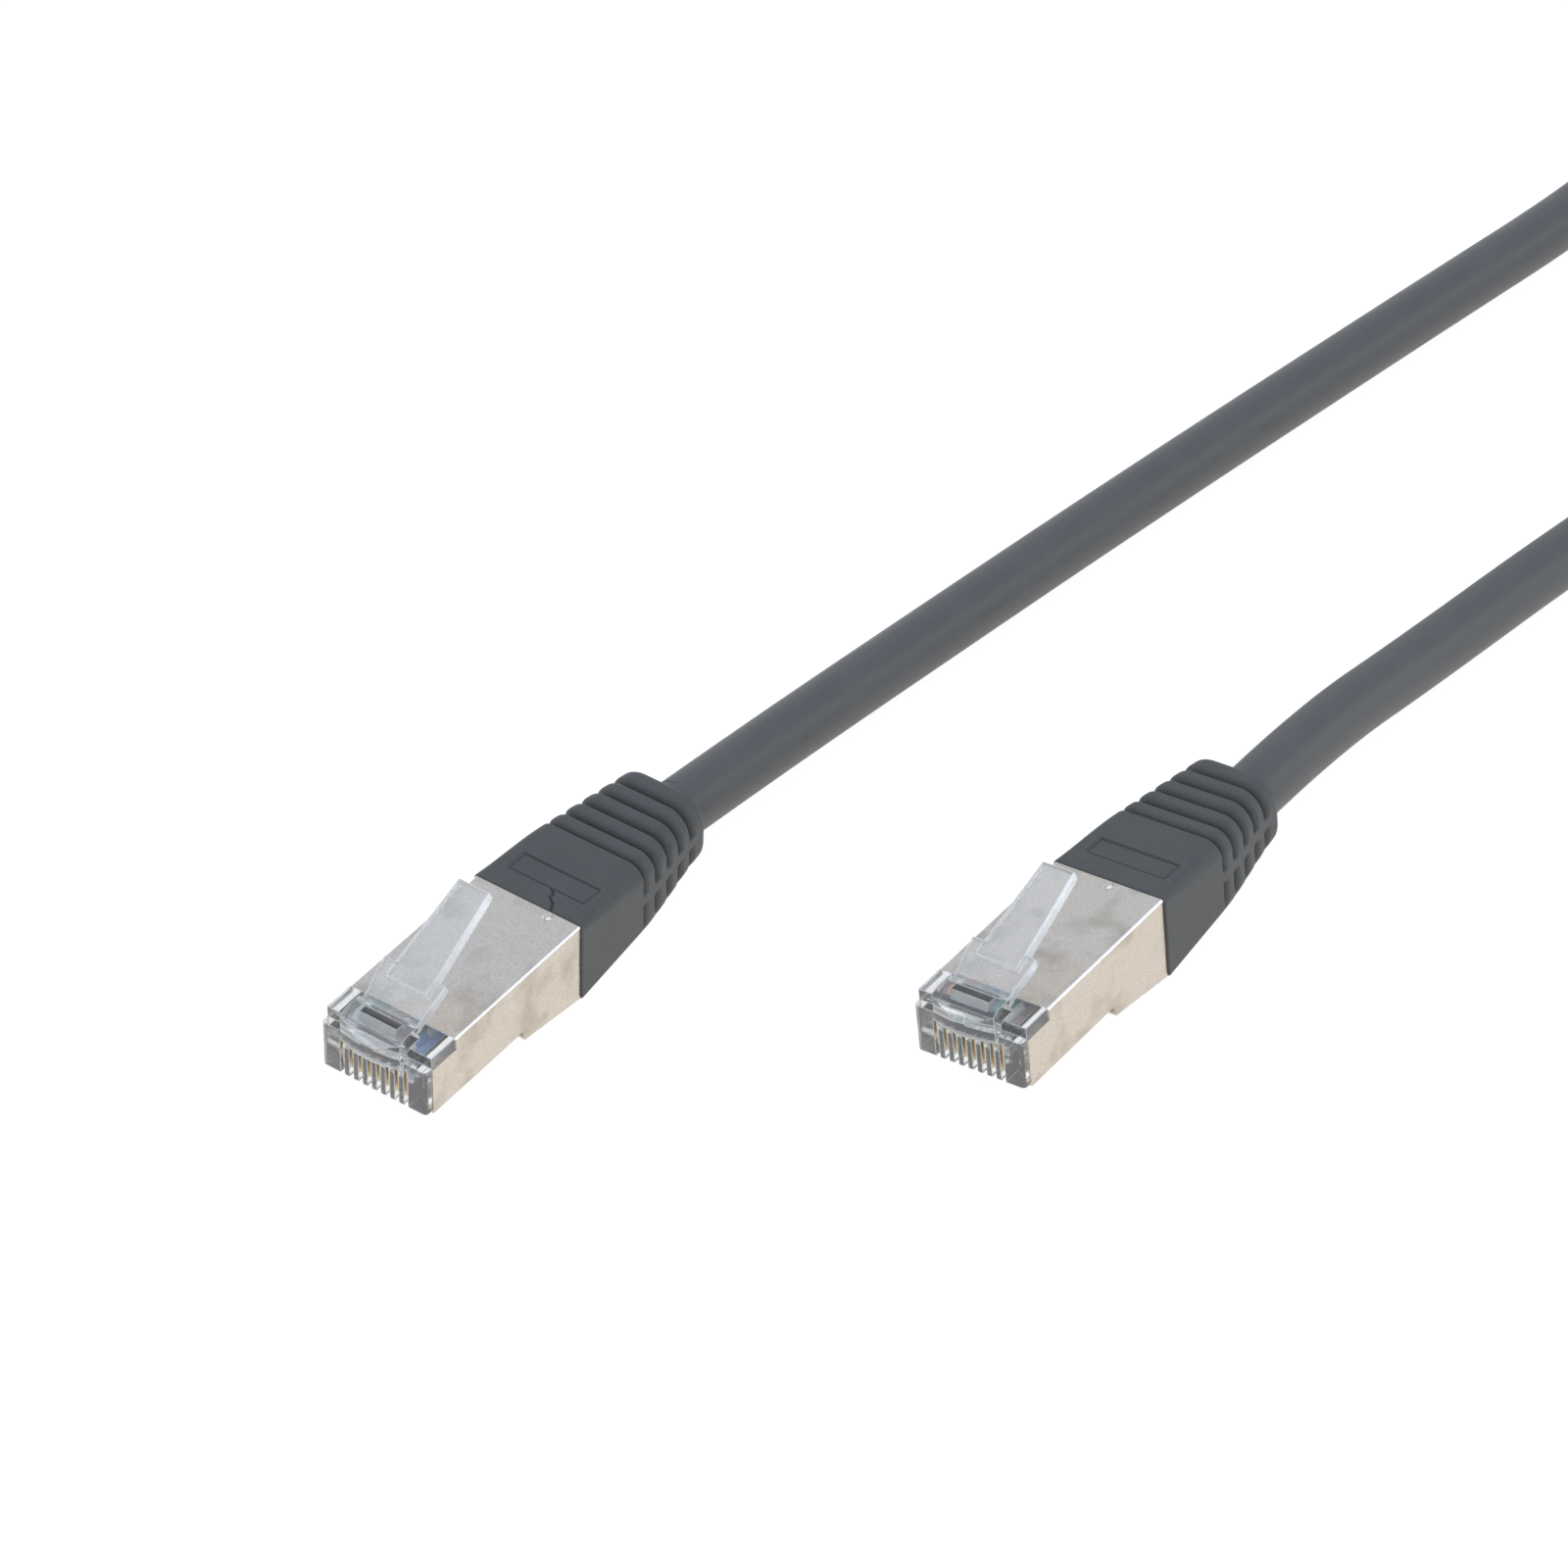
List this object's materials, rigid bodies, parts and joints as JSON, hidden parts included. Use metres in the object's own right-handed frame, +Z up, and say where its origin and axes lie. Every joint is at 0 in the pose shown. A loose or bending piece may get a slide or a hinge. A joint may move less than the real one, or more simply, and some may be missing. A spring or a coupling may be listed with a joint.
{
  "type": "ethernet patch cable",
  "caption": "Shielded network patch cable with clear modular plugs, spring latches, gold contacts, ribbed strain relief boots and a round grey cord.",
  "frame": {"origin": "middle of the flat underside of boot A, on the surface that the cable lies on", "axes": "+Z up, -Y out of plug A's nose along its insertion direction, +X across plug A towards plug B"},
  "size_m": [0.08, 0.2856, 0.0164],
  "materials": {
    "clear_polycarbonate": "clear moulded polycarbonate, polished",
    "nickel_sheet": "satin nickel-plated sheet, light handling marks",
    "gold_contact": "gold-plated phosphor bronze, polished",
    "screen_foil": "thin aluminium foil",
    "tinned_wire": "tinned copper",
    "cable_jacket": "satin PVC jacket, fine extrusion grain",
    "boot_pvc": "soft overmoulded PVC, fine moulded grain",
    "tie_vinyl": "flat vinyl-covered wire tie",
    "wire_white_orange": "polyethylene insulation, pale with a coloured stripe",
    "wire_orange": "polyethylene insulation",
    "wire_white_green": "polyethylene insulation, pale with a coloured stripe",
    "wire_green": "polyethylene insulation",
    "wire_white_blue": "polyethylene insulation, pale with a coloured stripe",
    "wire_blue": "polyethylene insulation",
    "wire_white_brown": "polyethylene insulation, pale with a coloured stripe",
    "wire_brown": "polyethylene insulation"
  },
  "bodies": {
    "root": {"plug_body_a": "clear_polycarbonate", "load_bar_a": "clear_polycarbonate", "plug_shield_a": "nickel_sheet", "foil_screen_a": "screen_foil", "drain_wire_a": "tinned_wire", "jacket_end_a": "cable_jacket", "boot_a": "boot_pvc", "contact_1_a": "gold_contact", "wire_1_a": "wire_white_green", "contact_2_a": "gold_contact", "wire_2_a": "wire_green", "contact_3_a": "gold_contact", "wire_3_a": "wire_white_orange", "contact_4_a": "gold_contact", "wire_4_a": "wire_orange", "contact_5_a": "gold_contact", "wire_5_a": "wire_white_brown", "contact_6_a": "gold_contact", "wire_6_a": "wire_brown", "contact_7_a": "gold_contact", "wire_7_a": "wire_white_blue", "contact_8_a": "gold_contact", "wire_8_a": "wire_blue", "plug_body_b": "clear_polycarbonate", "load_bar_b": "clear_polycarbonate", "plug_shield_b": "nickel_sheet", "foil_screen_b": "screen_foil", "drain_wire_b": "tinned_wire", "jacket_end_b": "cable_jacket", "boot_b": "boot_pvc", "contact_1_b": "gold_contact", "wire_1_b": "wire_white_orange", "contact_2_b": "gold_contact", "wire_2_b": "wire_orange", "contact_3_b": "gold_contact", "wire_3_b": "wire_white_green", "contact_4_b": "gold_contact", "wire_4_b": "wire_blue", "contact_5_b": "gold_contact", "wire_5_b": "wire_white_blue", "contact_6_b": "gold_contact", "wire_6_b": "wire_green", "contact_7_b": "gold_contact", "wire_7_b": "wire_white_brown", "contact_8_b": "gold_contact", "wire_8_b": "wire_brown", "cable_run_a": "cable_jacket", "cable_run_b": "cable_jacket", "cable_coil": "cable_jacket", "coil_tie": "tie_vinyl"},
    "latch_a": {"latch_a": "clear_polycarbonate"},
    "latch_b": {"latch_b": "clear_polycarbonate"}
  },
  "joints": [
    {"name": "latch_a_press", "type": "hinge", "parent": "root", "child": "latch_a", "pos_m": [0, -0.0318, 0.0098], "axis": [-1, 0, 0], "range_deg": [0, 22], "stiffness_Nm_per_rad": 0.15},
    {"name": "latch_b_press", "type": "hinge", "parent": "root", "child": "latch_b", "pos_m": [0.0407, 0.0013, 0.0105], "axis": [-0.9898, 0.0202, -0.1409], "range_deg": [0, 17], "stiffness_Nm_per_rad": 0.15}
  ]
}
